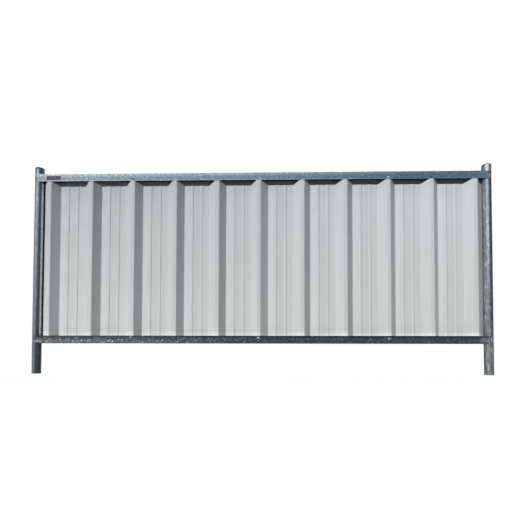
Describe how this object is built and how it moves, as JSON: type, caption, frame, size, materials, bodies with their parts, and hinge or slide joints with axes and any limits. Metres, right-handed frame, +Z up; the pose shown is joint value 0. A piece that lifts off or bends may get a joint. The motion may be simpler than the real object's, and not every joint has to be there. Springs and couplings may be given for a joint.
{
  "type": "steel hoarding fence panel",
  "caption": "Low site hoarding panel: profiled steel sheets held between two folded channel rails and two tubular posts, whose free legs stand in fence feet.",
  "frame": {"origin": "middle of the left post's foot face, as seen from the front", "axes": "+X along the panel to the right post, -Y to the front where the narrow flanges show, +Z up"},
  "size_m": [2.2384, 0.0494, 1.019],
  "materials": {
    "post_zinc": "hot-dip galvanised, satin",
    "rail_zinc": "galvanised, weathered, mottled",
    "weld_zinc": "dull cold-galvanised weld",
    "cap_plastic": "matt black plastic",
    "sheet_coating": "light grey coated steel, satin"
  },
  "bodies": {
    "root": {"left_post": "post_zinc", "right_post": "post_zinc", "left_post_cap": "cap_plastic", "right_post_cap": "cap_plastic", "top_rail": "rail_zinc", "bottom_rail": "rail_zinc", "left_sheet": "sheet_coating", "right_sheet": "sheet_coating", "weld_top_left_front": "weld_zinc", "weld_top_left_back": "weld_zinc", "weld_top_right_front": "weld_zinc", "weld_top_right_back": "weld_zinc", "weld_bottom_left_front": "weld_zinc", "weld_bottom_left_back": "weld_zinc", "weld_bottom_right_front": "weld_zinc", "weld_bottom_right_back": "weld_zinc"}
  },
  "joints": []
}
